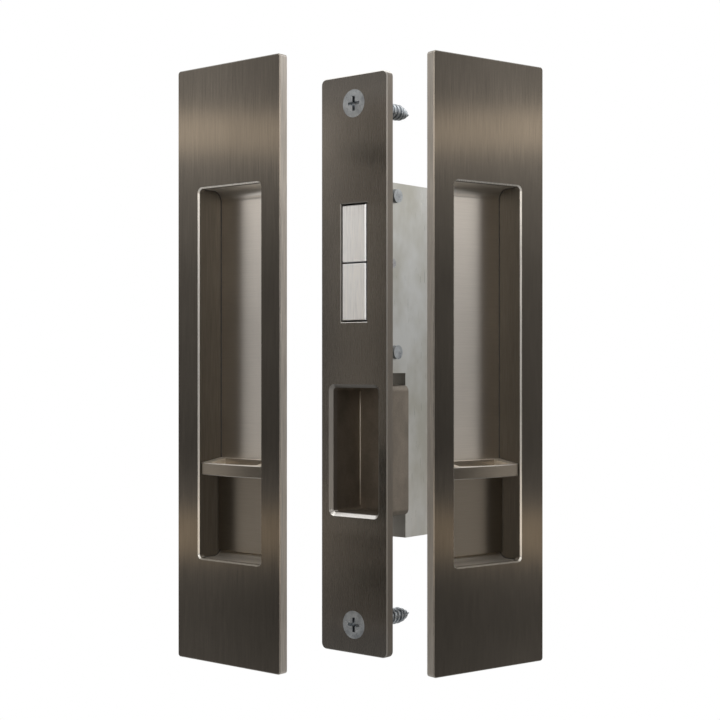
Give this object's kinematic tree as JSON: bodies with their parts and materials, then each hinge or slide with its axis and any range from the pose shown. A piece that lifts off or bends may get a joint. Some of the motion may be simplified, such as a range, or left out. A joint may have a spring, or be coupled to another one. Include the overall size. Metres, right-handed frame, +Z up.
{
  "type": "flush pull privacy set",
  "caption": "Brushed gunmetal flush pulls with thumb slides and an edge lock with spreading claws and a finger recess, for a sliding door.",
  "frame": {"origin": "centre of the forend's front face, between its two fixing screws", "axes": "+Y into the door behind the forend, +X across the door's edge, +Z up"},
  "size_m": [0.0953, 0.0997, 0.19],
  "materials": {
    "gunmetal": "brushed gunmetal plating, warm dark grey, satin",
    "claw_steel": "brushed stainless steel, bright satin",
    "screw_zinc": "blue zinc plated steel",
    "case_steel": "bright zinc plated sheet steel",
    "pin_steel": "turned steel",
    "spring_steel": "blued spring steel",
    "cast_zinc": "zinc die casting, as cast",
    "nylon": "moulded nylon, natural white"
  },
  "bodies": {
    "set_frame": {"forend": "gunmetal", "edge_pull_pocket": "gunmetal", "forend_screws": "screw_zinc", "case_tray": "case_steel", "case_cover": "case_steel", "case_pillars": "case_steel", "guide_pins": "pin_steel", "case_screws": "screw_zinc", "spreader_pin": "pin_steel", "left_pull_plate": "gunmetal", "left_pocket_liner": "gunmetal", "left_slide_guide": "case_steel", "left_fixing_spigots": "nylon", "right_pull_plate": "gunmetal", "right_pocket_liner": "gunmetal", "right_slide_guide": "case_steel", "right_fixing_spigots": "nylon"},
    "lock_drive": {"drive_plate": "case_steel", "tail_follower": "cast_zinc", "friction_spring": "spring_steel"},
    "carriage": {"bolt_carriage": "cast_zinc", "claw_pins": "pin_steel", "cam_pin": "pin_steel"},
    "upper_claw": {"upper_claw": "claw_steel"},
    "lower_claw": {"lower_claw": "claw_steel"},
    "left_thumb": {"left_thumb_slide": "gunmetal", "left_slide_retainer": "case_steel", "left_retainer_key": "pin_steel"},
    "right_thumb": {"right_thumb_slide": "gunmetal", "right_slide_retainer": "case_steel", "right_retainer_key": "pin_steel"}
  },
  "joints": [
    {"name": "drive_travel", "type": "slide", "parent": "set_frame", "child": "lock_drive", "axis": [0, 0, 1], "range_m": [0, 0.01]},
    {"name": "bolt_travel", "type": "slide", "parent": "set_frame", "child": "carriage", "axis": [0, -1, 0], "range_m": [0, 0.01]},
    {"name": "upper_claw_pivot", "type": "hinge", "parent": "carriage", "child": "upper_claw", "pos_m": [0, 0.035, 0.0393], "axis": [-1, 0, 0], "range_deg": [0, 6]},
    {"name": "lower_claw_pivot", "type": "hinge", "parent": "carriage", "child": "lower_claw", "pos_m": [0, 0.035, 0.0273], "axis": [1, 0, 0], "range_deg": [0, 6]},
    {"name": "left_thumb_travel", "type": "slide", "parent": "set_frame", "child": "left_thumb", "axis": [0, 0, 1], "range_m": [0, 0.01]},
    {"name": "right_thumb_travel", "type": "slide", "parent": "set_frame", "child": "right_thumb", "axis": [0, 0, 1], "range_m": [0, 0.01]}
  ],
  "couplings": [
    {"joint": "bolt_travel", "follows": "drive_travel", "ratio": 1},
    {"joint": "upper_claw_pivot", "follows": "drive_travel", "rad_per_m": 10.472},
    {"joint": "lower_claw_pivot", "follows": "drive_travel", "rad_per_m": 10.472},
    {"joint": "left_thumb_travel", "follows": "drive_travel", "ratio": 1},
    {"joint": "right_thumb_travel", "follows": "drive_travel", "ratio": 1}
  ]
}
